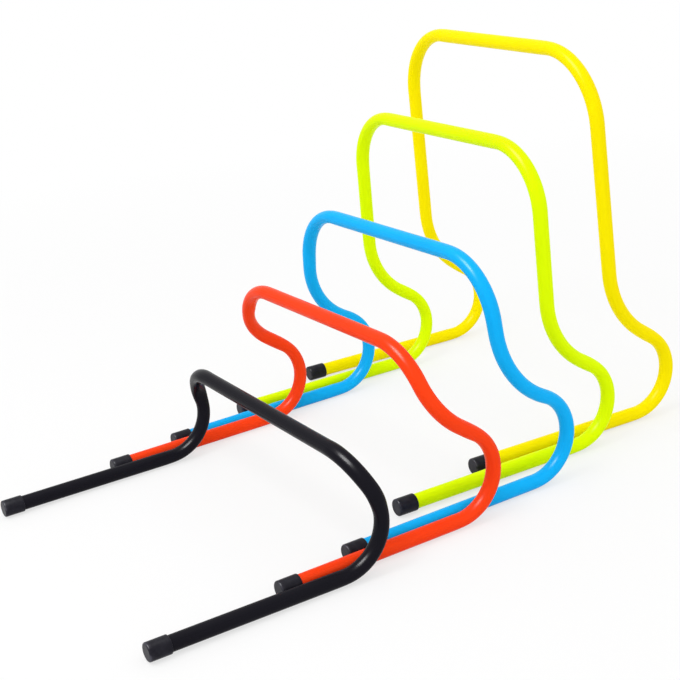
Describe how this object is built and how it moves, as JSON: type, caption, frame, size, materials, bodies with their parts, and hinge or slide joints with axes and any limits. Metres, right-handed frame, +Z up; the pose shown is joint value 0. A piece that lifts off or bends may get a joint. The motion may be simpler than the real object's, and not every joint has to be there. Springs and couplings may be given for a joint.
{
  "type": "speed hurdle set",
  "caption": "Nested row of graded speed hurdles, each one bent plastic tube with stepped heels, an arched top bar and black push-on foot caps.",
  "frame": {"origin": "on the floor, at the middle of the row's outline seen from above", "axes": "+Z up, feet pointing to -Y with the lowest hurdle in front, +X to the right seen from the front"},
  "size_m": [0.6434, 0.9269, 0.5453],
  "materials": {
    "black_plastic": "satin black plastic",
    "red_plastic": "glossy orange red plastic",
    "blue_plastic": "glossy sky blue plastic",
    "lime_plastic": "glossy lime yellow plastic",
    "yellow_plastic": "glossy yellow plastic",
    "cap_plastic": "satin black soft plastic"
  },
  "bodies": {
    "black_hurdle": {"black_tube": "black_plastic", "black_left_cap": "cap_plastic", "black_right_cap": "cap_plastic"},
    "red_hurdle": {"red_tube": "red_plastic", "red_left_cap": "cap_plastic", "red_right_cap": "cap_plastic"},
    "blue_hurdle": {"blue_tube": "blue_plastic", "blue_left_cap": "cap_plastic", "blue_right_cap": "cap_plastic"},
    "lime_hurdle": {"lime_tube": "lime_plastic", "lime_left_cap": "cap_plastic", "lime_right_cap": "cap_plastic"},
    "yellow_hurdle": {"yellow_tube": "yellow_plastic", "yellow_left_cap": "cap_plastic", "yellow_right_cap": "cap_plastic"}
  },
  "joints": [
    {"name": "lime_slide", "type": "slide", "parent": "yellow_hurdle", "child": "lime_hurdle", "axis": [-0.0209, -0.9998, 0], "range_m": [0, 0.3]},
    {"name": "blue_slide", "type": "slide", "parent": "lime_hurdle", "child": "blue_hurdle", "axis": [0.014, -0.9999, 0], "range_m": [0, 0.3]},
    {"name": "red_slide", "type": "slide", "parent": "blue_hurdle", "child": "red_hurdle", "axis": [0.0157, -0.9999, 0], "range_m": [0, 0.3]},
    {"name": "black_slide", "type": "slide", "parent": "red_hurdle", "child": "black_hurdle", "axis": [0, -1, 0], "range_m": [0, 0.3]}
  ]
}
